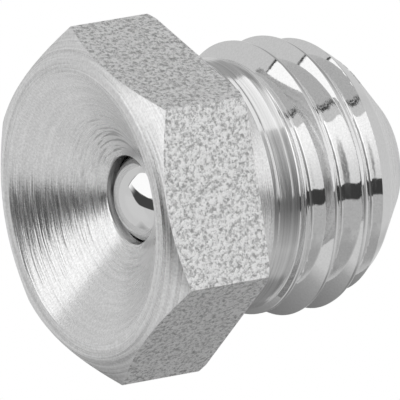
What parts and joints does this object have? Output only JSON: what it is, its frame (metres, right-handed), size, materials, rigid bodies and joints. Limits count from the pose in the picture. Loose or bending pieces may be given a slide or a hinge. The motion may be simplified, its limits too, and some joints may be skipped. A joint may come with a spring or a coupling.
{
  "type": "grease nipple",
  "caption": "Flush funnel-type grease nipple: hexagon head with a conical mouth, sprung check ball and a right-hand metric fine thread with a chamfered tip.",
  "frame": {"origin": "middle of the thread's tip ring, the lowest point of the part", "axes": "+Z along the bore, from the thread's tip to the funnel; +X through a corner of the hexagon; +Y square to a flat"},
  "size_m": [0.0102, 0.0088, 0.0095],
  "materials": {
    "plated_steel": "bright zinc-plated, as turned: fine rings on the turned faces, mottled drawn flats, burnished rolled thread",
    "polished_ball": "polished bearing-steel ball",
    "spring_wire": "drawn spring wire"
  },
  "bodies": {
    "nipple": {"body": "plated_steel", "valve_spring": "spring_wire"},
    "check_ball": {"valve_ball": "polished_ball"}
  },
  "joints": [
    {"name": "ball_travel", "type": "slide", "parent": "nipple", "child": "check_ball", "axis": [0, 0, -1], "range_m": [0, 0.0007], "stiffness_N_per_m": 1000, "springref_m": -0.0008, "deforming": ["valve_spring"]}
  ]
}
